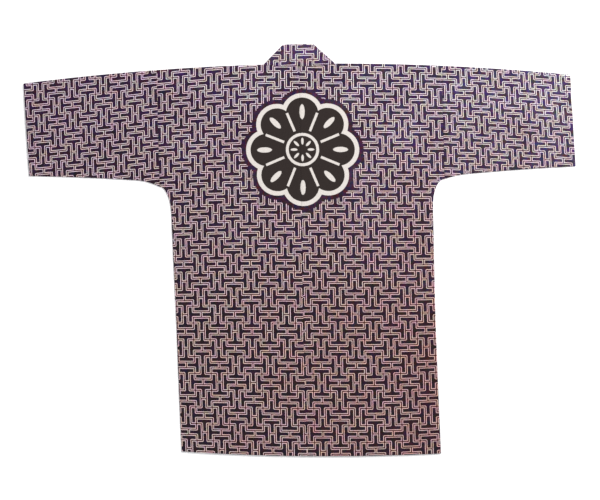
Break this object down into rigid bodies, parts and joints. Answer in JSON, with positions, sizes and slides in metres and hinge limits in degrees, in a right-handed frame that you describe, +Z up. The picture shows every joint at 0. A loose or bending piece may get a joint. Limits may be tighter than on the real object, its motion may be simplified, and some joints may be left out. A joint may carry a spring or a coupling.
{
  "type": "happi coat",
  "caption": "Straight-cut festival coat of printed cotton, laid flat with its back up: tubular sleeves, collar band round the neck and down the open fronts.",
  "frame": {"origin": "middle of the laid-out coat's outline, on the surface it lies on", "axes": "+X from the left cuff to the right cuff as seen looking down on the back, +Y from the hem to the collar, +Z up from the surface"},
  "size_m": [1.3085, 0.9769, 0.0064],
  "materials": {
    "printed_cotton": "matt plain-woven cotton, dyed dark violet with cream lines",
    "collar_cotton": "matt plain-woven cotton, folded double and edge-stitched",
    "badge_print": "matt charcoal dye with cream outlines, printed on the back",
    "thread": "matt cotton sewing thread"
  },
  "bodies": {
    "root": {"body_left": "printed_cotton", "body_right": "printed_cotton", "sleeve_left": "printed_cotton", "sleeve_right": "printed_cotton", "collar": "collar_cotton"}
  },
  "joints": []
}
